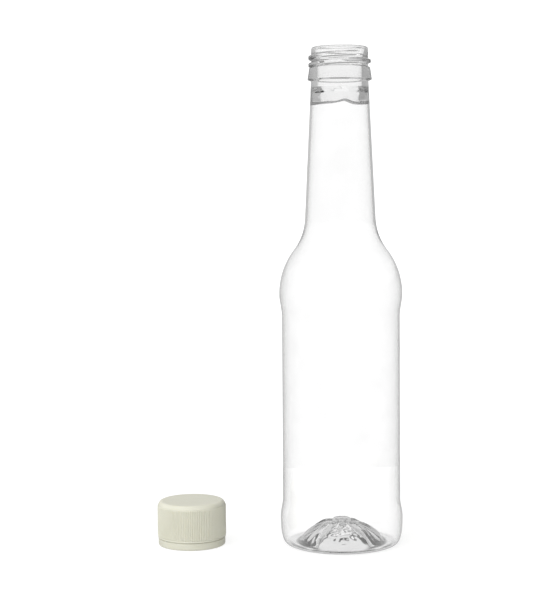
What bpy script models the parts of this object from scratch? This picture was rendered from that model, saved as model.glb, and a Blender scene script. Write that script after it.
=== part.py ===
# An empty long-neck juice bottle of clear blown PET, with its ribbed screw cap set down beside it.
# Metres, +Z up. Both stand on z = 0, and the box round the two is centred over the origin.

import math

import bmesh
import bpy

MM = 0.001

# Bottle: outer surface, in millimetres.
BOTTLE_HEIGHT = 219.5
BULGE_R = 27.2              # the two bulges that guard the label panel, and the widest place
PANEL_R = 26.1
PANEL_BOTTOM = 20.5
PANEL_TOP = 101.5
HEEL_TOP = 12.0             # height of the lower bulge
HEEL_POWER = 2.6            # superellipse that rounds the heel
FOOT_R = 23.6               # outer edge of the flat standing ring
SHOULDER_BOTTOM = 111.4     # height of the upper bulge
SHOULDER_BEND = 31.8        # radius of the convex shoulder arc
NECK_BEND = 24.1            # radius of the hollow arc into the neck
NECK_TOP = 204.7            # underside of the bead
NECK_TOP_R = 12.6
NECK_TAPER = 0.049          # radius lost for each millimetre of height

# Bottle: walls and base.
WALL = 0.4
NECK_WALL = 0.9             # the neck is blown out less, so it stays thicker
DOME_CENTRE = -14.85        # the push-up is two spherical caps with one centre
DOME_OUT_R = 23.8
DOME_IN_R = 24.6
RING_IN_R = 20.2            # inner edge of the standing ring
FLOOR = 0.6                 # thickness over the standing ring
DISC_R = 4.4                # thick disc at the top of the push-up
DISC_TOP = 10.9
GATE_R = 1.6                # nub under the disc
GATE_DROP = 0.6
RIBS = 8                    # every other one is lower
RIB_HEIGHT = 0.75           # inside the bottle
RIB_DEPTH = 0.3             # underneath
LOW_RIB = 0.6
RIB_IN_R = 4.6
RIB_GROWN = 4.0             # way over which a rib rises from the disc
RIB_OUT_R = 20.6
RIB_HALF_WIDTH = 1.6

# Bottle: neck finish.
BORE_R = 10.85
BORE_NARROW = 211.0
BORE_LOW_R = 9.75           # the unblown bore narrows to this
BORE_LOW = 201.9
THROAT_R = 8.65             # the thickest ring of the unblown wall
THROAT_TOP = 199.2
THROAT_BOTTOM = 195.8
FLARE_BOTTOM = 194.2        # the blown wall starts here, with hardly any passage
ROOT_R = 12.47              # neck between the threads
RIM_ROUND = 1.2
RIM_R = 11.3                # inner edge of the rim's flat top
RIM_INSIDE = 0.9
BEAD_R = 14.1
BEAD_BOTTOM = 205.3         # height of its widest edge
BEAD_TOP_R = 13.4
BEAD_TOP = 210.1
BEAD_END = 211.0

# Screw thread, shared by the neck and the cap.
PITCH = 3.18
THREAD_TURNS = 1.54
THREAD_FIRST_DEG = -45.0    # where the neck's top strand starts
THREAD_TOP = 216.05
THREAD_CREST_R = 13.7
THREAD_WIDTH = 2.5
CREST_WIDTH = 1.1
THREAD_FADE_DEG = 24.0
THREAD_STEP_DEG = 12.0

# Cap, standing mouth down.
CAP_HEIGHT = 19.6
CAP_TOP_R = 13.5
CAP_BEVEL_R = 14.2
CAP_BEVEL_DROP = 0.3
CAP_SIDE_TOP = 18.15
CAP_CORE_R = 14.95          # bottom of the grooves between the ribs
CAP_RIB_R = 15.25
CAP_RIBS = 120
RIBS_TOP = 17.9
RIBS_BOTTOM = 4.0
LIP_BOTTOM = 3.45
SLIT_R = 14.5
BAND_TOP = 3.1
BAND_R = 14.9
BAND_ROUND = 0.7
CAP_MOUTH_R = 13.95
CATCH_R = 13.3              # ring inside the band that catches under the bead
CATCH_Z = 1.7
CAP_BORE_R = 13.85
CAP_PANEL = 1.6
CAP_CREST_R = 12.85

# Where the two stand: the cap is on the left and a little in front.
AXES_APART = 67.0
CAP_FORWARD = 1.0
HALF_SPREAD = (BULGE_R + AXES_APART + CAP_RIB_R) / 2
BOTTLE_X = HALF_SPREAD - BULGE_R
CAP_X = CAP_RIB_R - HALF_SPREAD

SIDES = 48


def smooth(t):
    # 0 to 1, level at both ends
    return 0.5 - 0.5 * math.cos(math.pi * t)


def steps(start, end, count):
    # evenly spaced values from start up to, but not including, end
    return [start + (end - start) * i / count for i in range(count)]


def bend(start, corner, end, count):
    # points along a quadratic curve that rounds a corner, both ends included
    points = []
    for i in range(count + 1):
        t = i / count
        a, b, c = (1 - t) ** 2, 2 * t * (1 - t), t * t
        points.append(tuple(a * p + b * q + c * s for p, q, s in zip(start, corner, end)))
    return points


def shoulder_joints():
    # The convex arc hangs from the upper bulge and the hollow arc touches both it and the neck's cone.
    arc_r = BULGE_R - SHOULDER_BEND
    cone_r = NECK_TOP_R + NECK_TAPER * NECK_TOP
    lean = math.hypot(1, NECK_TAPER)
    across = cone_r + NECK_BEND * lean - arc_r
    reach = SHOULDER_BEND + NECK_BEND
    a = lean ** 2
    b = -2 * (SHOULDER_BOTTOM + across * NECK_TAPER)
    c = SHOULDER_BOTTOM ** 2 + across ** 2 - reach ** 2
    bend_z = (-b + math.sqrt(b * b - 4 * a * c)) / (2 * a)
    bend_r = across + arc_r - NECK_TAPER * bend_z
    shoulder_end = SHOULDER_BOTTOM + (bend_z - SHOULDER_BOTTOM) * SHOULDER_BEND / reach
    neck_start = bend_z - NECK_BEND * NECK_TAPER / lean
    return bend_z, bend_r, shoulder_end, neck_start


BEND_Z, BEND_R, SHOULDER_END, NECK_START = shoulder_joints()


def wall_radius(z):
    # outer radius from the lower bulge to the underside of the bead
    if z < PANEL_BOTTOM:
        return BULGE_R + (PANEL_R - BULGE_R) * smooth((z - HEEL_TOP) / (PANEL_BOTTOM - HEEL_TOP))
    if z < PANEL_TOP:
        return PANEL_R
    if z < SHOULDER_BOTTOM:
        return PANEL_R + (BULGE_R - PANEL_R) * smooth((z - PANEL_TOP) / (SHOULDER_BOTTOM - PANEL_TOP))
    if z < SHOULDER_END:
        return BULGE_R - SHOULDER_BEND + math.sqrt(SHOULDER_BEND ** 2 - (z - SHOULDER_BOTTOM) ** 2)
    if z < NECK_START:
        return BEND_R - math.sqrt(NECK_BEND ** 2 - (z - BEND_Z) ** 2)
    return NECK_TOP_R + NECK_TAPER * (NECK_TOP - z)


def side_points():
    # (radius, height) up the outside, from the standing ring to the underside of the bead
    points = []
    for turn in steps(math.pi / 2, 0, 7):
        out = math.cos(turn) ** (2 / HEEL_POWER)
        down = math.sin(turn) ** (2 / HEEL_POWER)
        points.append((FOOT_R + (BULGE_R - FOOT_R) * out, HEEL_TOP * (1 - down)))
    heights = steps(HEEL_TOP, PANEL_BOTTOM, 4)
    heights += [PANEL_BOTTOM]
    heights += steps(PANEL_TOP, SHOULDER_BOTTOM, 4)
    heights += steps(SHOULDER_BOTTOM, SHOULDER_END, 6)
    heights += steps(SHOULDER_END, NECK_START, 5)
    heights += [NECK_START, (NECK_START + FLARE_BOTTOM) / 2, FLARE_BOTTOM]
    return points + [(wall_radius(z), z) for z in heights]


def wall_thickness(z):
    t = (z - SHOULDER_END) / (NECK_START - SHOULDER_END)
    return WALL + (NECK_WALL - WALL) * smooth(min(1, max(0, t)))


def inset_points(points):
    # the same line moved in by the wall's thickness, square to the line
    moved = []
    last = len(points) - 1
    for i, (r, z) in enumerate(points):
        r0, z0 = points[max(i - 1, 0)]
        r1, z1 = points[min(i + 1, last)]
        length = math.hypot(r1 - r0, z1 - z0)
        depth = wall_thickness(z)
        moved.append((r - depth * (z1 - z0) / length, z + depth * (r1 - r0) / length))
    return moved


def dome_height(radius, dome_r):
    return DOME_CENTRE + math.sqrt(dome_r ** 2 - radius ** 2)


def dome_radius(height, dome_r):
    return math.sqrt(dome_r ** 2 - (height - DOME_CENTRE) ** 2)


def underside_points():
    # from the centre of the push-up, over the gate's nub, down to the standing ring
    nub_z = dome_height(GATE_R, DOME_OUT_R)
    points = [(0, nub_z - GATE_DROP), (GATE_R * 0.8, nub_z - GATE_DROP), (GATE_R, nub_z)]
    foot_r = dome_radius(0, DOME_OUT_R)
    fillet_z = 1.6
    fillet_r = dome_radius(fillet_z, DOME_OUT_R)
    points += [(r, dome_height(r, DOME_OUT_R)) for r in steps(DISC_R, fillet_r, 6)]
    points += bend((fillet_r, fillet_z), (foot_r, 0), (RING_IN_R, 0), 3)
    return points


def floor_points():
    # the same way back inside the bottle, from over the standing ring to the centre
    foot_r = dome_radius(FLOOR, DOME_IN_R)
    fillet_z = 2.0
    fillet_r = dome_radius(fillet_z, DOME_IN_R)
    points = bend((RING_IN_R + 0.4, FLOOR), (foot_r, FLOOR), (fillet_r, fillet_z), 3)
    points += [(r, dome_height(r, DOME_IN_R)) for r in steps(fillet_r, DISC_R, 6)[1:]]
    points += [(DISC_R, dome_height(DISC_R, DOME_IN_R)), (DISC_R * 0.9, DISC_TOP), (0, DISC_TOP)]
    return points


def finish_points():
    # the bead, the plain neck that the thread stands on, and the rim
    top = BOTTLE_HEIGHT
    points = [(NECK_TOP_R, NECK_TOP), (BEAD_R, BEAD_BOTTOM), (BEAD_TOP_R, BEAD_TOP), (ROOT_R, BEAD_END)]
    points += bend((ROOT_R, top - RIM_ROUND), (ROOT_R, top), (RIM_R, top), 3)
    points += bend((RIM_R, top), (BORE_R, top), (BORE_R, top - RIM_INSIDE), 2)[1:]
    return points


def bore_points():
    # down the unblown bore, through the thick throat and out to the blown wall
    points = [((BORE_R + BORE_LOW_R) / 2, (BOTTLE_HEIGHT - RIM_INSIDE + BORE_NARROW) / 2)]
    points += [(BORE_LOW_R, BORE_NARROW)]
    points += [(BORE_LOW_R, BORE_LOW), ((BORE_LOW_R + THROAT_R) / 2, (BORE_LOW + THROAT_TOP) / 2)]
    points += [(THROAT_R, THROAT_TOP)]
    thin_r = wall_radius(FLARE_BOTTOM) - NECK_WALL
    return points + bend((THROAT_R, THROAT_BOTTOM), (THROAT_R, FLARE_BOTTOM), (thin_r, FLARE_BOTTOM), 3)[:-1]


def bottle_outline():
    outside = side_points()
    inside = inset_points(outside)
    inside[0] = (FOOT_R - WALL, FLOOR)
    inside.reverse()
    return underside_points() + outside + finish_points() + bore_points() + inside + floor_points()


def cap_outline():
    # from the middle of the top, down the outside, round the mouth and up the inside
    top = CAP_HEIGHT
    points = [(0, top)]
    points += bend((CAP_TOP_R - 0.3, top), (CAP_TOP_R + 0.3, top), (CAP_BEVEL_R, top - CAP_BEVEL_DROP), 2)
    side_top = (CAP_CORE_R, CAP_SIDE_TOP)
    points += bend((CAP_CORE_R - 0.25, CAP_SIDE_TOP + 0.4), side_top, (CAP_CORE_R, RIBS_TOP), 2)
    points += [(CAP_CORE_R, RIBS_BOTTOM), (CAP_CORE_R + 0.1, LIP_BOTTOM), (SLIT_R, LIP_BOTTOM)]
    points += [(SLIT_R, BAND_TOP), (BAND_R, BAND_TOP)]
    points += bend((BAND_R, BAND_ROUND), (BAND_R, 0), (BAND_R - BAND_ROUND * 0.6, 0), 2)
    points += [(CAP_MOUTH_R, 0), (CATCH_R, CATCH_Z), (CAP_BORE_R, CATCH_Z + 0.6)]
    points += bend((CAP_BORE_R, top - CAP_PANEL - 0.8), (CAP_BORE_R, top - CAP_PANEL),
                   (CAP_BORE_R - 0.8, top - CAP_PANEL), 2)
    points += [(0, top - CAP_PANEL)]
    return points


def turned(outline):
    # one closed body, turned from an outline that starts and ends on the axis
    bm = bmesh.new()
    verts = [bm.verts.new((r * MM, 0, z * MM)) for r, z in outline]
    edges = [bm.edges.new(pair) for pair in zip(verts, verts[1:])]
    bmesh.ops.spin(bm, geom=verts + edges, cent=(0, 0, 0), axis=(0, 0, 1),
                   angle=2 * math.pi, steps=SIDES, use_merge=True, use_duplicate=False)
    bmesh.ops.remove_doubles(bm, verts=bm.verts, dist=0.002 * MM)
    bmesh.ops.recalc_face_normals(bm, faces=bm.faces)
    return bm


def add_base_ribs(bm):
    # thicker rounded ribs run down the push-up, taller inside the bottle than underneath
    between = (DOME_OUT_R + DOME_IN_R) / 2
    for vert in bm.verts:
        radius = math.hypot(vert.co.x, vert.co.y) / MM
        if vert.co.z < DISC_TOP * MM and RIB_IN_R < radius < RIB_OUT_R:
            turn = math.atan2(vert.co.y, vert.co.x) * RIBS / (2 * math.pi)
            off = abs(turn - round(turn)) * 2 * math.pi / RIBS * radius
            along = smooth(min(1, (radius - RIB_IN_R) / RIB_GROWN)) * smooth(min(1, RIB_OUT_R - radius))
            around = smooth(max(0, 1 - off / (1.5 * RIB_HALF_WIDTH)))
            lift = along * around * (1 if round(turn) % 2 else LOW_RIB)
            underneath = math.hypot(radius, vert.co.z / MM - DOME_CENTRE) < between
            vert.co.z += (-RIB_DEPTH if underneath else RIB_HEIGHT) * lift * MM


def thread_ridge(root_r, crest_r, first_deg, top_z):
    # a helical ridge that runs down clockwise, and fades into the wall at both ends
    bm = bmesh.new()
    count = round(THREAD_TURNS * 360 / THREAD_STEP_DEG)
    before = None
    for i in range(count + 1):
        gone = i * THREAD_STEP_DEG
        height = min(1, gone / THREAD_FADE_DEG, (count * THREAD_STEP_DEG - gone) / THREAD_FADE_DEG)
        tip_r = root_r + (crest_r - root_r) * max(height, 0.02)
        turn = math.radians(first_deg - gone)
        z = top_z - PITCH * gone / 360
        section = [(root_r, z + THREAD_WIDTH / 2), (tip_r, z + CREST_WIDTH / 2),
                   (tip_r, z - CREST_WIDTH / 2), (root_r, z - THREAD_WIDTH / 2)]
        ring = [bm.verts.new((r * math.cos(turn) * MM, r * math.sin(turn) * MM, h * MM)) for r, h in section]
        if before:
            for k in range(4):
                bm.faces.new((before[k], before[k - 1], ring[k - 1], ring[k]))
        else:
            bm.faces.new(ring)
        before = ring
    bm.faces.new(before)
    bmesh.ops.recalc_face_normals(bm, faces=bm.faces)
    return bm


def rib_sleeve():
    # a ring with a pleated outside, sunk a little into the cap's wall
    bm = bmesh.new()
    outer = []
    for i in range(2 * CAP_RIBS):
        radius = CAP_RIB_R if i % 2 == 0 else CAP_CORE_R + 0.02
        turn = math.pi * i / CAP_RIBS
        x, y = radius * math.cos(turn), radius * math.sin(turn)
        outer.append(bm.verts.new((x * MM, y * MM, RIBS_BOTTOM * MM)))
    face = bm.faces.new(outer)
    lifted = bmesh.ops.extrude_face_region(bm, geom=[face])["geom"]
    rise = [item for item in lifted if isinstance(item, bmesh.types.BMVert)]
    bmesh.ops.translate(bm, verts=rise, vec=(0, 0, (RIBS_TOP - RIBS_BOTTOM) * MM))
    bmesh.ops.recalc_face_normals(bm, faces=bm.faces)
    return bm


def bore_plug(radius, low, high):
    # a plain cylinder that opens the sleeve up
    bm = bmesh.new()
    bmesh.ops.create_cone(bm, cap_ends=True, segments=SIDES, radius1=radius * MM, radius2=radius * MM,
                          depth=(high - low) * MM)
    bmesh.ops.translate(bm, verts=bm.verts, vec=(0, 0, (low + high) / 2 * MM))
    return bm


def add_object(name, bm, material=None):
    mesh = bpy.data.meshes.new(name)
    bm.to_mesh(mesh)
    bm.free()
    if material:
        mesh.materials.append(material)
    obj = bpy.data.objects.new(name, mesh)
    bpy.context.scene.collection.objects.link(obj)
    return obj


def combine(obj, tool, operation):
    # joins or cuts for good, then throws the tool away
    modifier = obj.modifiers.new(operation.lower(), "BOOLEAN")
    modifier.operation = operation
    modifier.solver = "EXACT"
    modifier.object = tool
    bpy.context.view_layer.update()
    evaluated = obj.evaluated_get(bpy.context.evaluated_depsgraph_get())
    mesh = bpy.data.meshes.new_from_object(evaluated)
    obj.modifiers.clear()
    obj.data = mesh
    bpy.data.objects.remove(tool)


def weld(obj):
    bm = bmesh.new()
    bm.from_mesh(obj.data)
    bmesh.ops.remove_doubles(bm, verts=bm.verts, dist=0.002 * MM)
    bm.to_mesh(obj.data)
    bm.free()


def principled(name, color, roughness, alpha=1.0):
    material = bpy.data.materials.new(name)
    material.use_nodes = True
    shader = material.node_tree.nodes["Principled BSDF"]
    shader.inputs["Base Color"].default_value = (*color, 1)
    shader.inputs["Roughness"].default_value = roughness
    shader.inputs["Metallic"].default_value = 0
    shader.inputs["Alpha"].default_value = alpha
    return material


def make_bottle():
    body = turned(bottle_outline())
    add_base_ribs(body)
    clear_pet = principled("clear_pet", (0.86, 0.88, 0.88), 0.05, alpha=0.3)
    bottle = add_object("bottle", body, clear_pet)
    ridge = thread_ridge(ROOT_R - 0.6, THREAD_CREST_R, THREAD_FIRST_DEG, THREAD_TOP)
    combine(bottle, add_object("neck_thread", ridge), "UNION")
    weld(bottle)
    bottle.location.x = BOTTLE_X * MM
    return bottle


def make_cap():
    off_white = principled("off_white_polythene", (0.68, 0.69, 0.58), 0.45)
    cap = add_object("cap", turned(cap_outline()), off_white)
    sleeve = add_object("cap_ribs", rib_sleeve())
    combine(sleeve, add_object("sleeve_bore", bore_plug(CAP_CORE_R - 0.4, 0, CAP_HEIGHT)), "DIFFERENCE")
    combine(cap, sleeve, "UNION")
    # the cap's own strand lies half a pitch under the neck's
    inner_top = CAP_HEIGHT - CAP_PANEL - (BOTTLE_HEIGHT - THREAD_TOP) - PITCH / 2
    ridge = thread_ridge(CAP_BORE_R + 0.5, CAP_CREST_R, THREAD_FIRST_DEG, inner_top)
    combine(cap, add_object("cap_thread", ridge), "UNION")
    weld(cap)
    cap.location = (CAP_X * MM, -CAP_FORWARD * MM, 0)
    return cap


for old in list(bpy.data.objects):
    bpy.data.objects.remove(old)

for piece in (make_bottle(), make_cap()):
    piece.data.shade_smooth()
    piece.data.set_sharp_from_angle(angle=math.radians(35))
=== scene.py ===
import math

import bmesh
import bpy
from mathutils import Euler, Matrix, Vector, noise


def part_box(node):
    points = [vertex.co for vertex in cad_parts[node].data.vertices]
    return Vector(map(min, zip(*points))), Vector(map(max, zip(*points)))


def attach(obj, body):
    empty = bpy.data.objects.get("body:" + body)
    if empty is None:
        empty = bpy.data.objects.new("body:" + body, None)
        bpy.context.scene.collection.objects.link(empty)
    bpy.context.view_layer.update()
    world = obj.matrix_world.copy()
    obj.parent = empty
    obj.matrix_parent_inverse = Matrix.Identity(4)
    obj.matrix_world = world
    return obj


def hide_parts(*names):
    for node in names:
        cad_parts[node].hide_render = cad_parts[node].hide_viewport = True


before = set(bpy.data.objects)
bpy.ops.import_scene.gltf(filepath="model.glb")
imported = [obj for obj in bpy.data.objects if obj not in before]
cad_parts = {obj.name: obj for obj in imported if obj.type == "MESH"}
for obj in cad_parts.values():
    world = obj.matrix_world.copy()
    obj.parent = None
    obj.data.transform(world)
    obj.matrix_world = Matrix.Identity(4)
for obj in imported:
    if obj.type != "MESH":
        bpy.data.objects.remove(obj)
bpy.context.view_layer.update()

mm = 0.001
sharpDeg = 40            # edges bent further than this stay sharp


# Small helpers

def smooth(t):
    t = min(1, max(0, t))
    return 0.5 - 0.5 * math.cos(math.pi * t)


def between(start, end, t):
    return start + (end - start) * t


def steps(start, end, count):
    return [start + (end - start) * i / count for i in range(count)]   # leaves the end out


def bend(start, corner, end, count):
    # a quadratic curve that rounds a corner, both ends included
    points = []
    for i in range(count + 1):
        t = i / count
        shares = ((1 - t) ** 2, 2 * t * (1 - t), t * t)
        pairs = list(zip(shares, (start, corner, end)))
        points.append(tuple(sum(share * point[k] for share, point in pairs) for k in (0, 1)))
    return points


def linear(hexColour):
    # sRGB hex to the linear colour that Blender mixes with
    parts = [int(hexColour[i:i + 2], 16) / 255 for i in (1, 3, 5)]
    return tuple(c / 12.92 if c <= 0.04045 else ((c + 0.055) / 1.055) ** 2.4 for c in parts) + (1.0,)


def addNode(tree, kind, settings=None, links=None):
    # settings name an input socket or a property of the node, links name an input socket
    node = tree.nodes.new(kind)
    for key, value in (settings or {}).items():
        if isinstance(key, int) or key in node.inputs:
            node.inputs[key].default_value = value
        else:
            setattr(node, key, value)
    for key, socket in (links or {}).items():
        tree.links.new(socket, node.inputs[key])
    return node


def newMaterial(name):
    material = bpy.data.materials.new(name)
    material.use_nodes = True
    material.node_tree.nodes.clear()
    return material, material.node_tree


def turned(outline, columns):
    # an outline of (radius, height) in mm that starts and ends on the axis, spun into one closed skin
    bm = bmesh.new()
    verts = [bm.verts.new((r * mm, 0, z * mm)) for r, z in outline]
    edges = [bm.edges.new(pair) for pair in zip(verts, verts[1:])]
    bmesh.ops.spin(bm, geom=verts + edges, cent=(0, 0, 0), axis=(0, 0, 1), angle=2 * math.pi,
                   steps=columns, use_merge=True, use_duplicate=False)
    bmesh.ops.remove_doubles(bm, verts=bm.verts, dist=0.001 * mm)
    bmesh.ops.recalc_face_normals(bm, faces=bm.faces)
    return bm


def standOf(node):
    # where a CAD node stands: the middle of its foot
    low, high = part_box(node)
    return Vector(((low.x + high.x) / 2, (low.y + high.y) / 2, low.z))


def finishPiece(bm, name, node, material):
    bmesh.ops.translate(bm, verts=bm.verts, vec=standOf(node))
    mesh = bpy.data.meshes.new(name)
    bm.to_mesh(mesh)
    bm.free()
    mesh.materials.append(material)
    mesh.shade_smooth()
    mesh.set_sharp_from_angle(angle=math.radians(sharpDeg))
    piece = bpy.data.objects.new(name, mesh)
    bpy.context.scene.collection.objects.link(piece)
    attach(piece, "root")
    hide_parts(node)
    print(name, len(mesh.polygons), "faces")


def threadHeight(thread, angleDeg, z):
    # 0 to 1 over a helical ridge that runs down clockwise and fades at both ends
    whole = thread["turns"] * 360
    gone = (thread["firstDeg"] - angleDeg) % 360
    best = 0
    while gone <= whole:
        off = abs(z - thread["top"] + thread["pitch"] * gone / 360)
        flank = (thread["width"] / 2 - off) / ((thread["width"] - thread["crestWidth"]) / 2)
        fade = min(1, gone / thread["fadeDeg"], (whole - gone) / thread["fadeDeg"])
        best = max(best, smooth(flank) * smooth(fade))
        gone += 360
    return best


# The bottle: one skin of clear plastic, outside and inside. Millimetres.

bottle = {
    "columns": 192,
    "height": 219.5,
    "bulgeR": 27.2,                                       # the two bulges that guard the label panel
    "panelR": 26.1, "panelBottom": 20.5, "panelTop": 101.5,
    "footR": 23.6, "heelTop": 12.0, "heelPower": 2.6,     # a superellipse rounds the heel
    "shoulderBottom": 111.4, "shoulderBend": 31.8,        # a round arc over the upper bulge
    "neckBend": 24.1,                                     # a hollow arc into the neck
    "neckTop": 204.7, "neckTopR": 12.6, "neckTaper": 0.049,
    "wall": 0.4, "neckWall": 0.9,
    # The push-up: two spherical caps with one centre, a thick disc on top and a nub under it.
    "domeCentre": -14.85, "domeOutR": 23.8, "domeInR": 24.6,
    "ringInR": 20.2, "floor": 0.6,                        # the standing ring and the plastic over it
    "outFilletZ": 1.6, "inFilletZ": 2.0,
    "discR": 4.4, "discTop": 10.9, "gateR": 1.6, "gateDrop": 0.6,
    # Its ribs. Every other one is lower and shorter.
    "ribs": 8, "ribTurnDeg": -134.0, "ribHalfWidth": 1.6, "ribEdge": 0.75,
    "ribInR": 4.6, "ribGrown": 4.0, "ribOutR": 20.0, "ribEnd": 1.2,
    "ribHeight": 0.75, "ribPressed": -0.3,                # inside the bottle and underneath
    "lowRib": 0.6, "lowRibOutR": 18.0,
    # Uneven plastic on its front, and streaks down the rest of it.
    "crumpleMm": 1.3, "crumpleHeight": 0.6, "crumpleDeg": -90.0, "crumpleWidthDeg": 34.0,
    "crumpleInR": 7.0, "crumpleOutR": 17.5,
    "streaks": 5.5, "streakMm": 70.0, "streakHeight": 1.0, "streakInR": 6.0, "streakOutR": 18.5,
    # The finish: the neck between the threads, the rim and the sealing bead.
    "rootR": 12.47, "rimRound": 1.2, "rimR": 11.3, "rimInside": 0.9,
    "beadR": 14.1, "beadBottom": 205.3, "beadTopR": 13.4, "beadTop": 210.1, "beadEnd": 211.0,
    # Inside the neck: the unblown bore, the throat where its wall is thickest, and the flare below it.
    "boreR": 10.85, "boreNarrow": 211.0, "boreLowR": 9.75, "boreLow": 201.9,
    "throatR": 8.65, "throatTop": 199.2, "throatBottom": 195.8,
    "throatUneven": 0.22, "throatUnevenMm": 2.6,
    "flareBottom": 194.2,
    # The flare isn't quite level: it wavers, rises in one place front and back, and is higher behind.
    "waver": 0.2, "waveHeight": 1.2, "waveDeg": -79.0, "waveWidthDeg": 16.0, "backRise": 1.3,
}
neckThread = {"pitch": 3.18, "turns": 1.54, "firstDeg": -45.0, "top": 216.05, "width": 2.7,
              "crestWidth": 0.9, "fadeDeg": 24.0, "height": 1.23}


def shoulderJoints(b):
    # the hollow arc touches both the shoulder's arc and the neck's cone
    arcR = b["bulgeR"] - b["shoulderBend"]
    coneR = b["neckTopR"] + b["neckTaper"] * b["neckTop"]
    lean = math.hypot(1, b["neckTaper"])
    across = coneR + b["neckBend"] * lean - arcR
    reach = b["shoulderBend"] + b["neckBend"]
    p = -2 * (b["shoulderBottom"] + across * b["neckTaper"])
    q = b["shoulderBottom"] ** 2 + across ** 2 - reach ** 2
    z = (-p + math.sqrt(p * p - 4 * lean ** 2 * q)) / (2 * lean ** 2)
    r = across + arcR - b["neckTaper"] * z
    shoulderEnd = b["shoulderBottom"] + (z - b["shoulderBottom"]) * b["shoulderBend"] / reach
    return z, r, shoulderEnd, z - b["neckBend"] * b["neckTaper"] / lean


bendZ, bendR, shoulderEnd, neckStart = shoulderJoints(bottle)


def wallRadius(z):
    b = bottle
    if z < b["panelBottom"]:
        t = (z - b["heelTop"]) / (b["panelBottom"] - b["heelTop"])
        return between(b["bulgeR"], b["panelR"], smooth(t))
    if z < b["shoulderBottom"]:
        t = (z - b["panelTop"]) / (b["shoulderBottom"] - b["panelTop"])
        return between(b["panelR"], b["bulgeR"], smooth(t))
    if z < shoulderEnd:
        arcR = b["bulgeR"] - b["shoulderBend"]
        return arcR + math.sqrt(b["shoulderBend"] ** 2 - (z - b["shoulderBottom"]) ** 2)
    if z < neckStart:
        return bendR - math.sqrt(b["neckBend"] ** 2 - (z - bendZ) ** 2)
    return b["neckTopR"] + b["neckTaper"] * (b["neckTop"] - z)


def sidePoints(b):
    points = []
    for turn in steps(math.pi / 2, 0, 18):
        out = math.cos(turn) ** (2 / b["heelPower"])
        down = math.sin(turn) ** (2 / b["heelPower"])
        points.append((between(b["footR"], b["bulgeR"], out), b["heelTop"] * (1 - down)))
    heights = steps(b["heelTop"], b["panelBottom"], 11) + steps(b["panelBottom"], b["panelTop"], 6)
    heights += steps(b["panelTop"], b["shoulderBottom"], 11) + steps(b["shoulderBottom"], shoulderEnd, 16)
    heights += steps(shoulderEnd, neckStart, 13) + steps(neckStart, b["flareBottom"], 8) + [b["flareBottom"]]
    return points + [(wallRadius(z), z) for z in heights]


def wallThickness(z):
    t = (z - shoulderEnd) / (neckStart - shoulderEnd)
    return between(bottle["wall"], bottle["neckWall"], smooth(t))


def insetPoints(points):
    # the same line moved in by the wall's thickness, square to itself
    moved = []
    for i, (r, z) in enumerate(points):
        r0, z0 = points[max(i - 1, 0)]
        r1, z1 = points[min(i + 1, len(points) - 1)]
        length = math.hypot(r1 - r0, z1 - z0)
        depth = wallThickness(z)
        moved.append((r - depth * (z1 - z0) / length, z + depth * (r1 - r0) / length))
    return moved


def domeHeight(radius, domeR):
    return bottle["domeCentre"] + math.sqrt(domeR ** 2 - radius ** 2)


def domeRadius(height, domeR):
    return math.sqrt(domeR ** 2 - (height - bottle["domeCentre"]) ** 2)


def undersidePoints(b):
    nubTop = domeHeight(b["gateR"], b["domeOutR"])
    nubZ = nubTop - b["gateDrop"]
    filletR = domeRadius(b["outFilletZ"], b["domeOutR"])
    points = [(0, nubZ)] + bend((b["gateR"] * 0.7, nubZ), (b["gateR"], nubZ), (b["gateR"], nubTop), 4)
    points += [(r, domeHeight(r, b["domeOutR"])) for r in steps(b["gateR"] + 0.5, filletR, 26)]
    foot = (domeRadius(0, b["domeOutR"]), 0)
    return points + bend((filletR, b["outFilletZ"]), foot, (b["ringInR"], 0), 8)


def floorPoints(b):
    filletR = domeRadius(b["inFilletZ"], b["domeInR"])
    foot = (domeRadius(b["floor"], b["domeInR"]), b["floor"])
    points = bend((b["ringInR"] + 0.4, b["floor"]), foot, (filletR, b["inFilletZ"]), 8)
    points += [(r, domeHeight(r, b["domeInR"])) for r in steps(filletR, b["discR"], 24)[1:]]
    edge = (b["discR"], domeHeight(b["discR"], b["domeInR"]))
    points += bend(edge, (b["discR"] * 0.95, b["discTop"]), (b["discR"] * 0.7, b["discTop"]), 6)
    return points + [(b["discR"] * 0.4, b["discTop"] - 0.1), (0, b["discTop"] - 0.12)]


def finishPoints(b):
    # from under the sealing bead up to the rim and into the bore
    top = b["height"]
    points = [(wallRadius(z), z) for z in steps(b["flareBottom"], b["neckTop"], 6)[1:]]
    points += bend((b["neckTopR"], b["neckTop"]), (b["neckTopR"] + 0.08, b["neckTop"] + 0.03),
                   (b["neckTopR"] + 0.25, b["neckTop"] + 0.08), 3)
    points += bend((b["beadR"] - 0.2, b["beadBottom"] - 0.06), (b["beadR"], b["beadBottom"]),
                   (b["beadR"] - 0.02, b["beadBottom"] + 0.15), 5)
    for t in steps(0.1, 0.95, 4):
        points.append((between(b["beadR"], b["beadTopR"], t), between(b["beadBottom"], b["beadTop"], t)))
    points += bend((b["beadTopR"], b["beadTop"]), (b["beadTopR"] - 0.1, b["beadTop"] + 0.5),
                   (b["rootR"] + 0.3, b["beadEnd"] - 0.2), 6)
    threadTop = neckThread["top"] + neckThread["width"]
    points += [(b["rootR"], z) for z in steps(b["beadEnd"], threadTop, 80)]
    points += bend((b["rootR"], top - b["rimRound"]), (b["rootR"], top), (b["rimR"], top), 10)
    points += bend((b["rimR"] - 0.05, top), (b["boreR"], top), (b["boreR"], top - b["rimInside"]), 8)[1:]
    return points


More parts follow.
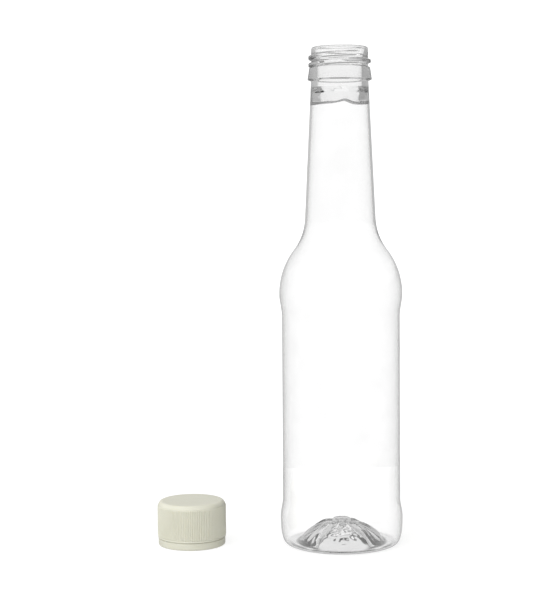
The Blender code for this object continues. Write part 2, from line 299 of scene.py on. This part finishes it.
def borePoints(b):
    # down the unblown bore, through the thick throat and out to the blown wall
    top = b["height"] - b["rimInside"]
    points = []
    for t in steps(0, 1, 12)[1:]:
        points.append((between(b["boreR"], b["boreLowR"], smooth(t)), between(top, b["boreNarrow"], t)))
    points += [(b["boreLowR"], z) for z in steps(b["boreNarrow"], b["neckTop"], 5)]
    for z in steps(b["neckTop"], b["boreLow"], 7):
        points.append((b["boreLowR"] + b["neckTaper"] * (b["neckTop"] - z), z))      # parallel to the outside
    lowR = b["boreLowR"] + b["neckTaper"] * (b["neckTop"] - b["boreLow"])
    for z in steps(b["boreLow"], b["throatTop"], 14):
        t = (b["boreLow"] - z) / (b["boreLow"] - b["throatTop"])
        points.append((between(lowR, b["throatR"], t), z))
    points += [(b["throatR"], z) for z in steps(b["throatTop"], b["throatBottom"], 12)]
    thinR = wallRadius(b["flareBottom"]) - b["neckWall"]
    points += bend((b["throatR"], b["throatBottom"]), (b["throatR"], b["flareBottom"]),
                   (thinR, b["flareBottom"]), 14)
    return points[:-1]


def bottleOutline(b):
    outside = sidePoints(b)
    inside = insetPoints(outside)
    inside[0] = (b["footR"] - b["wall"], b["floor"])
    inside.reverse()
    return undersidePoints(b) + outside + finishPoints(b) + borePoints(b) + inside + floorPoints(b)


def bell(angle, middleDeg, widthDeg):
    # 1 in one direction, and nothing far round from it
    off = (math.degrees(angle) - middleDeg + 180) % 360 - 180
    return math.exp(-(off / widthDeg) ** 2)


def baseLift(b, radius, z, angle):
    # millimetres up: rounded ribs run down the push-up, and inside the bottle its plastic is uneven too
    spacing = 2 * math.pi / b["ribs"]
    count, off = divmod(angle - math.radians(b["ribTurnDeg"]) + spacing / 2, spacing)
    off -= spacing / 2
    size, outR = (b["lowRib"], b["lowRibOutR"]) if count % 2 else (1, b["ribOutR"])
    around = size * smooth((b["ribHalfWidth"] - abs(off) * radius) / b["ribEdge"] + 0.5)
    along = smooth((radius - b["ribInR"]) / b["ribGrown"]) * smooth((outR - radius) / b["ribEnd"])
    if math.hypot(radius, z - b["domeCentre"]) < (b["domeOutR"] + b["domeInR"]) / 2:
        return b["ribPressed"] * along * around
    spot = Vector((radius * math.cos(angle), radius * math.sin(angle), z)) / b["crumpleMm"]
    crumple = b["crumpleHeight"] * noise.noise(spot)
    crumple *= smooth((radius - b["crumpleInR"]) / 3) * smooth((b["crumpleOutR"] - radius) / 2)
    spot = Vector((math.cos(angle), math.sin(angle), radius / b["streakMm"])) * b["streaks"]
    streak = b["streakHeight"] * noise.noise(spot)
    streak *= smooth((radius - b["streakInR"]) / 4) * smooth((b["streakOutR"] - radius) / 2)
    front = bell(angle, b["crumpleDeg"], b["crumpleWidthDeg"])
    return b["ribHeight"] * along * around + crumple * front + streak * (1 - front)


def flareLift(b, z, angle):
    # millimetres up, for the line where the thick wall ends
    lift = bell(angle, b["waveDeg"], b["waveWidthDeg"]) + bell(angle, -b["waveDeg"], b["waveWidthDeg"])
    lift += b["waver"] * math.sin(1.0 - 3 * abs(angle))
    behind = (0.5 + 0.5 * math.sin(angle)) ** 2
    share = smooth((z - b["flareBottom"] + 3) / 2.5) * smooth((b["throatTop"] - z) / 5)
    return share * (b["waveHeight"] * lift + b["backRise"] * behind)


def shapeBottle(bm, b):
    # what isn't round: the push-up's relief, the screw thread, and the uneven throat and flare
    crest = b["rootR"] + neckThread["height"]
    for vert in bm.verts:
        radius = math.hypot(vert.co.x, vert.co.y) / mm
        z = vert.co.z / mm
        angle = math.atan2(vert.co.y, vert.co.x)
        grown = 1
        if z < b["discTop"] and b["ribInR"] < radius < b["ribOutR"]:
            vert.co.z += baseLift(b, radius, z, angle) * mm
        if z > b["beadBottom"] and b["rootR"] - 0.2 < radius < crest:
            grown += (crest - radius) * threadHeight(neckThread, math.degrees(angle), z) / radius
        if neckStart < z < b["boreLow"] and radius < wallRadius(z) - b["neckWall"] / 2:
            share = smooth((z - b["flareBottom"]) / 2) * smooth((b["boreLow"] - z) / 2)
            vert.co.z += flareLift(b, z, angle) * mm
            grown += b["throatUneven"] * share * noise.noise(vert.co / (b["throatUnevenMm"] * mm)) / radius
        vert.co.x *= grown
        vert.co.y *= grown


def clearBlownPet():
    # Blown PET: clear and glossy, and grey where the eye looks through much of it.
    look = {"light": "#FFFFFF", "dark": "#FAFAFA", "ior": 1.575,
            "rippleMm": 9.0, "rippleDepth": 0.02, "greyPerMm": 0.024}
    material, tree = newMaterial("clear_blown_pet")
    place = addNode(tree, "ShaderNodeTexCoord")
    ripple = addNode(tree, "ShaderNodeTexNoise", {"Scale": 1 / (look["rippleMm"] * mm), "Detail": 1.0},
                     {"Vector": place.outputs["Object"]})
    bump = addNode(tree, "ShaderNodeBump", {"Strength": look["rippleDepth"], "Distance": mm},
                   {"Height": ripple.outputs["Fac"]})
    tint = addNode(tree, "ShaderNodeMix",
                   {"data_type": "RGBA", 6: linear(look["light"]), 7: linear(look["dark"])},
                   {0: ripple.outputs["Fac"]})
    shader = addNode(tree, "ShaderNodeBsdfPrincipled",
                     {"Roughness": 0.0, "IOR": look["ior"], "Transmission Weight": 1.0},
                     {"Base Color": tint.outputs[2], "Normal": bump.outputs["Normal"]})
    inside = addNode(tree, "ShaderNodeVolumeAbsorption",           # a half grey, so twice the density
                     {"Color": (0.5, 0.5, 0.5, 1), "Density": 2 * look["greyPerMm"] / mm})
    addNode(tree, "ShaderNodeOutputMaterial", None,
            {"Surface": shader.outputs[0], "Volume": inside.outputs[0]})
    return material


def makeBottle():
    bm = turned(bottleOutline(bottle), bottle["columns"])
    shapeBottle(bm, bottle)
    finishPiece(bm, "bottle_skin", "bottle", clearBlownPet())


# The cap, standing mouth down. Millimetres.

cap = {
    "columnsPerRib": 6,
    "height": 19.6, "dish": 0.05, "topR": 13.5, "bevelR": 14.2, "bevelDrop": 0.3, "sideTop": 18.15,
    "coreR": 14.95, "ribR": 15.25, "ribs": 120, "ribsTop": 17.9, "ribsBottom": 4.0, "ribFade": 0.8,
    "lipBottom": 3.45, "slitR": 14.5, "bandTop": 3.1, "bandR": 14.9, "bandRound": 0.7,
    "bridges": 5, "bridgeDeg": -67.0, "bridgeWidthDeg": 3.0,     # what holds the tamper band
    "mouthR": 13.95, "catchR": 13.3, "catchZ": 1.7,              # the ring that catches under the bead
    "boreR": 13.85, "panel": 1.6, "crestR": 12.85,
}
capThread = {**neckThread, "top": cap["height"] - cap["panel"] - (bottle["height"] - neckThread["top"])
             - neckThread["pitch"] / 2}


def capOutline(c):
    top = c["height"]
    ceiling = top - c["panel"]
    points = [(0, top - c["dish"])]
    points += [(r, top - c["dish"] * (1 - smooth((r - 8) / 4))) for r in steps(4, 13, 6)]
    points += bend((c["topR"] - 0.4, top), (c["topR"] + 0.2, top),
                   (c["bevelR"], top - c["bevelDrop"] - 0.1), 6)
    points += bend((c["coreR"] - 0.35, c["sideTop"] + 0.5), (c["coreR"], c["sideTop"] + 0.1),
                   (c["coreR"], c["ribsTop"]), 6)
    high = c["ribsTop"] - c["ribFade"]                           # more rows where the ribs fade
    low = c["ribsBottom"] + c["ribFade"]
    heights = steps(c["ribsTop"], high, 5)[1:] + steps(high, low, 8) + steps(low, c["ribsBottom"], 5)
    points += [(c["coreR"], z) for z in heights]
    points += bend((c["coreR"], c["ribsBottom"]), (c["coreR"] + 0.2, c["ribsBottom"] - 0.2),
                   (c["coreR"] + 0.18, c["lipBottom"] + 0.1), 4)
    points += [(c["coreR"] + 0.1, c["lipBottom"]), (c["slitR"], c["lipBottom"]), (c["slitR"], c["bandTop"])]
    points += bend((c["bandR"] - 0.1, c["bandTop"]), (c["bandR"], c["bandTop"]),
                   (c["bandR"], c["bandTop"] - 0.1), 3)
    points += bend((c["bandR"], c["bandRound"]), (c["bandR"], 0), (c["bandR"] - c["bandRound"] * 0.7, 0), 6)
    points += bend((c["mouthR"] + 0.15, 0), (c["mouthR"], 0), (c["mouthR"] - 0.05, 0.15), 3)
    points += bend((c["catchR"] + 0.1, c["catchZ"] - 0.2), (c["catchR"], c["catchZ"]),
                   (c["catchR"] + 0.1, c["catchZ"] + 0.15), 3)
    points += [(c["boreR"], c["catchZ"] + 0.6)]
    points += [(c["boreR"], z) for z in steps(c["catchZ"] + 1.6, ceiling - 1.0, 44)]
    points += bend((c["boreR"], ceiling - 0.8), (c["boreR"], ceiling), (c["boreR"] - 0.8, ceiling), 5)
    return points + [(r, ceiling) for r in (9, 5, 0)]


def shapeCap(bm, c):
    # the ribs of the grip, the bridges across the slit, and the thread inside
    slack = 0.01                                                 # tells one surface from another
    for vert in bm.verts:
        radius = math.hypot(vert.co.x, vert.co.y) / mm
        z = vert.co.z / mm
        degrees = math.degrees(math.atan2(vert.co.y, vert.co.x))
        target = radius
        if radius > c["coreR"] - slack and c["ribsBottom"] <= z <= c["ribsTop"]:
            wave = 0.5 + 0.5 * math.cos(math.radians(c["ribs"] * degrees))
            ends = smooth((z - c["ribsBottom"]) / 0.5) * smooth((c["ribsTop"] - z) / 0.6)
            target = radius + (c["ribR"] - c["coreR"]) * wave * ends
        elif abs(radius - c["slitR"]) < slack and c["bandTop"] - slack < z < c["lipBottom"] + slack:
            gap = 360 / c["bridges"]
            off = abs((degrees - c["bridgeDeg"] + gap / 2) % gap - gap / 2)
            if off < c["bridgeWidthDeg"] / 2:
                target = c["bandR"] - 0.05
        elif abs(radius - c["boreR"]) < slack and z > c["catchZ"] + 1:
            target = radius - (c["boreR"] - c["crestR"]) * threadHeight(capThread, degrees, z)
        vert.co.x *= target / radius if radius else 1
        vert.co.y *= target / radius if radius else 1


def mouldedPolythene():
    # Moulded HDPE: off-white, satin, slightly translucent, with the fine grain of the mould.
    look = {"light": "#D8D7C8", "dark": "#CFCEBD", "patchMm": 6.0, "ior": 1.54, "roughness": 0.42,
            "grainMm": 0.25, "grainDepth": 0.15, "grainHeightMm": 0.05,
            "glow": 0.15, "glowMm": 2.0, "glowReach": (1.0, 0.9, 0.7)}      # light that soaks in
    material, tree = newMaterial("moulded_hdpe")
    place = addNode(tree, "ShaderNodeTexCoord")
    patch = addNode(tree, "ShaderNodeTexNoise", {"Scale": 1 / (look["patchMm"] * mm), "Detail": 3.0},
                    {"Vector": place.outputs["Object"]})
    grain = addNode(tree, "ShaderNodeTexNoise", {"Scale": 1 / (look["grainMm"] * mm), "Detail": 2.0},
                    {"Vector": place.outputs["Object"]})
    colour = addNode(tree, "ShaderNodeMix",
                     {"data_type": "RGBA", 6: linear(look["light"]), 7: linear(look["dark"])},
                     {0: patch.outputs["Fac"]})
    bump = addNode(tree, "ShaderNodeBump",
                   {"Strength": look["grainDepth"], "Distance": look["grainHeightMm"] * mm},
                   {"Height": grain.outputs["Fac"]})
    shader = addNode(tree, "ShaderNodeBsdfPrincipled",
                     {"Roughness": look["roughness"], "IOR": look["ior"], "Subsurface Weight": look["glow"],
                      "Subsurface Radius": look["glowReach"], "Subsurface Scale": look["glowMm"] * mm},
                     {"Base Color": colour.outputs[2], "Normal": bump.outputs["Normal"]})
    addNode(tree, "ShaderNodeOutputMaterial", None, {"Surface": shader.outputs[0]})
    return material


def makeCap():
    bm = turned(capOutline(cap), cap["ribs"] * cap["columnsPerRib"])
    shapeCap(bm, cap)
    finishPiece(bm, "cap_shell", "cap", mouldedPolythene())


# The studio: pale floor, soft light, and the camera at the photograph's angle.

studio = {
    "backdrop": 1.22,                                    # the white behind, also through clear walls
    # Through clear walls it falls off away from the middle, to a level above the horizon and one below.
    # A sideways distance counts for only so much of an upright one.
    "besides": 0.4, "below": 0.65, "horizon": (-0.1, 0.1),
    "screenNear": 0.42, "screenFar": 0.66, "screenWide": 0.4,
    "light": 0.46, "lightFrom": (-0.60, -0.85, 0.70),    # what the floor and the cap see
    "mirrored": 0.52, "mirroredFrom": (-0.08, 0.05, 0.06),       # what clear walls mirror
    "mirroredRise": (0.12, 0.20), "mirroredHigh": 0.8,           # and what they mirror from higher up
    "darkest": 0.05,
    "floorSize": 0.36, "floorDrop": 0.2, "floorColour": "#979796",
    "floorGlow": 0.80, "floorLights": 0.35,              # its own light: for the camera, for matt things
    # The floor through clear walls carries a painted shadow under the bottle: its level in the middle, then
    # for each circle round the axis how far forward it lies, how much a depth counts, its reach in mm, and
    # the level past that. The painted shade is a little in the middle, dark near the standing ring, and gone
    # past the second circle.
    "floorShadeMiddle": 0.80,
    "floorShadeRings": [(8, 0.6, (10, 13), 0.0), (0, 1.0, (18.5, 21.0), 1.0)],
    "floorNear": 0.56, "floorMirrored": 0.52, "nearMm": (50, 160),          # painted reflection: the floor's fixed glow in clear walls' mirrors, near it and further off
}
softbox = {"place": (-0.55, -0.60, 0.60), "aim": (0, 0, 0.08), "size": 0.6, "watts": 1.2}
camera = {
    "focalPx": 1457.0, "frameHeightPx": 600.0, "sensorMm": 36.0,
    "distance": 0.644, "height": 0.154, "pitchDeg": 4.02, "rollDeg": -0.45,
    "axisRightOfCentre": 0.0313,                         # the bottle's axis
}
bounces = {"all": 64, "glossy": 48}                      # light crosses many clear faces in the neck


def sightDepths(tree):
    # Three switches, 0 or 1: a ray from the camera, one that came through clear walls, a mirrored one.
    path = addNode(tree, "ShaderNodeLightPath")
    seen = path.outputs["Is Camera Ray"]
    mirrored = addNode(tree, "ShaderNodeMath", {"operation": "MINIMUM", 1: 1.0},
                       {0: path.outputs["Glossy Depth"]})
    sharp = addNode(tree, "ShaderNodeMath", {"operation": "LESS_THAN", 1: 0.5},
                    {0: path.outputs["Diffuse Depth"]})
    reflected = addNode(tree, "ShaderNodeMath", {"operation": "MULTIPLY"},
                        {0: mirrored.outputs[0], 1: sharp.outputs[0]})
    passed = addNode(tree, "ShaderNodeMath", {"operation": "MULTIPLY"},
                     {0: path.outputs["Is Transmission Ray"], 1: sharp.outputs[0]})
    through = addNode(tree, "ShaderNodeMath", {"operation": "SUBTRACT", "use_clamp": True},
                      {0: passed.outputs[0], 1: mirrored.outputs[0]})
    return seen, through.outputs[0], reflected.outputs[0]


def slope(tree, direction, level, towards):
    # brightness that rises towards one side of the sky
    dot = addNode(tree, "ShaderNodeVectorMath", {"operation": "DOT_PRODUCT", 1: towards}, {0: direction})
    total = addNode(tree, "ShaderNodeMath", {"operation": "ADD", 1: level}, {0: dot.outputs["Value"]})
    kept = addNode(tree, "ShaderNodeMath", {"operation": "MAXIMUM", 1: studio["darkest"]},
                   {0: total.outputs[0]})
    return kept.outputs[0]


def ramp(tree, value, span, low, high):
    # low, a number or a socket, below the span, high above it, and smooth between them
    node = addNode(tree, "ShaderNodeMapRange",
                   {"interpolation_type": "SMOOTHSTEP", 1: span[0], 2: span[1], 4: high}, {0: value})
    if isinstance(low, float):
        node.inputs[3].default_value = low
    else:
        tree.links.new(low, node.inputs[3])
    return node.outputs[0]


def buildSky():
    world = bpy.data.worlds.new("studio_sky")
    bpy.context.scene.world = world
    world.use_nodes = True
    tree = world.node_tree
    tree.nodes.clear()
    direction = addNode(tree, "ShaderNodeTexCoord").outputs["Generated"]
    seen, through, reflected = sightDepths(tree)
    up = addNode(tree, "ShaderNodeVectorMath", {"operation": "DOT_PRODUCT", 1: (0, 0, 1)}, {0: direction})
    up = up.outputs["Value"]
    lighting = slope(tree, direction, studio["light"], studio["lightFrom"])
    mirrored = slope(tree, direction, studio["mirrored"], studio["mirroredFrom"])
    mirrored = ramp(tree, up, studio["mirroredRise"], mirrored, studio["mirroredHigh"])
    indirect = addNode(tree, "ShaderNodeMix", None, {0: reflected, 2: lighting, 3: mirrored})
    aside = addNode(tree, "ShaderNodeVectorMath",
                    {"operation": "MULTIPLY", 1: (studio["screenWide"], 0, 1)}, {0: direction})
    off = addNode(tree, "ShaderNodeVectorMath", {"operation": "LENGTH"}, {0: aside.outputs[0]})
    dim = ramp(tree, up, studio["horizon"], studio["below"], studio["besides"])
    screen = ramp(tree, off.outputs["Value"], (studio["screenFar"], studio["screenNear"]),
                  dim, studio["backdrop"])
    unseen = addNode(tree, "ShaderNodeMix", None, {0: through, 2: indirect.outputs[0], 3: screen})
    strength = addNode(tree, "ShaderNodeMix", {3: studio["backdrop"]}, {0: seen, 2: unseen.outputs[0]})
    sky = addNode(tree, "ShaderNodeBackground", {"Color": (1, 1, 1, 1)}, {"Strength": strength.outputs[0]})
    addNode(tree, "ShaderNodeOutputWorld", None, {"Surface": sky.outputs[0]})
    print("sky lit")


def buildFloor():
    bm = bmesh.new()
    bmesh.ops.create_grid(bm, x_segments=1, y_segments=1, size=studio["floorSize"] / 2)
    mesh = bpy.data.meshes.new("floor")
    bm.to_mesh(mesh)
    bm.free()
    floor = bpy.data.objects.new("floor", mesh)
    bpy.context.scene.collection.objects.link(floor)
    material, tree = newMaterial("matt_white_board")
    seen, through, reflected = sightDepths(tree)
    # in mirrors the floor drops its lit colour, so only the painted reflection glow shows
    colour = addNode(tree, "ShaderNodeMix",
                     {"data_type": "RGBA", 6: linear(studio["floorColour"]), 7: (0, 0, 0, 1)}, {0: reflected})
    # painted shadow under the bottle, for the floor seen through clear walls: a glow level that is lower in
    # the middle and darkest near the standing ring
    place = addNode(tree, "ShaderNodeTexCoord").outputs["Object"]
    stand = standOf("bottle")
    level = studio["floorShadeMiddle"]
    for forward, deep, reach, further in studio["floorShadeRings"]:
        moved = (-stand.x, deep * (forward * mm - stand.y), 0)
        offset = addNode(tree, "ShaderNodeVectorMath",
                         {"operation": "MULTIPLY_ADD", 1: (1, deep, 1), 2: moved}, {0: place})
        away = addNode(tree, "ShaderNodeVectorMath", {"operation": "LENGTH"}, {0: offset.outputs[0]})
        away = away.outputs["Value"]
        level = ramp(tree, away, [mm * r for r in reach], level, further)
    # painted reflection: how bright clear walls mirror the floor, a little brighter near the bottle
    near = ramp(tree, away, [mm * r for r in studio["nearMm"]], studio["floorNear"], studio["floorMirrored"])
    lit = addNode(tree, "ShaderNodeMix", {2: studio["floorLights"], 3: studio["floorGlow"]}, {0: seen})
    # rays through clear walls get the painted shade level instead of the floor's own light
    glow = addNode(tree, "ShaderNodeMix", None, {0: through, 2: lit.outputs[0], 3: level})
    mirrored = addNode(tree, "ShaderNodeMix", None, {0: reflected, 2: glow.outputs[0], 3: near})
    shader = addNode(tree, "ShaderNodeBsdfPrincipled",
                     {"Roughness": 0.9, "Specular IOR Level": 0.0, "Emission Color": (1, 1, 1, 1)},
                     {"Base Color": colour.outputs[2], "Emission Strength": mirrored.outputs[0]})
    addNode(tree, "ShaderNodeOutputMaterial", None, {"Surface": shader.outputs[0]})
    mesh.materials.append(material)
    floor.location.z = -studio["floorDrop"] * mm
    print("floor laid")


def addSoftbox():
    light = bpy.data.lights.new("key_softbox", "AREA")
    light.size = softbox["size"]
    light.energy = softbox["watts"]
    lamp = bpy.data.objects.new("key_softbox", light)
    lamp.location = softbox["place"]
    aim = Vector(softbox["aim"]) - Vector(softbox["place"])
    lamp.rotation_euler = aim.to_track_quat("-Z", "Y").to_euler()
    lamp.visible_glossy = False
    lamp.visible_transmission = False
    bpy.context.scene.collection.objects.link(lamp)
    print("softbox hung")


def buildCamera():
    view = bpy.data.cameras.new("photo_view")
    view.sensor_width = camera["sensorMm"]
    view.lens = camera["focalPx"] * camera["sensorMm"] / camera["frameHeightPx"]
    shot = bpy.data.objects.new("photo_view", view)
    shot.location = (standOf("bottle").x - camera["axisRightOfCentre"], -camera["distance"], camera["height"])
    turn = Euler((math.radians(90 - camera["pitchDeg"]), 0, 0)).to_matrix()
    roll = Matrix.Rotation(math.radians(camera["rollDeg"]), 3, "Z")
    shot.rotation_euler = (turn @ roll).to_euler()
    bpy.context.scene.collection.objects.link(shot)
    bpy.context.scene.camera = shot
    print("camera placed")


def setLightPaths():
    scene = bpy.context.scene
    scene.view_settings.view_transform = "Standard"
    scene.cycles.max_bounces = bounces["all"]
    scene.cycles.transmission_bounces = bounces["all"]
    scene.cycles.glossy_bounces = bounces["glossy"]
    scene.cycles.use_denoising = True


makeBottle()
makeCap()
buildFloor()
buildSky()
addSoftbox()
buildCamera()
setLightPaths()
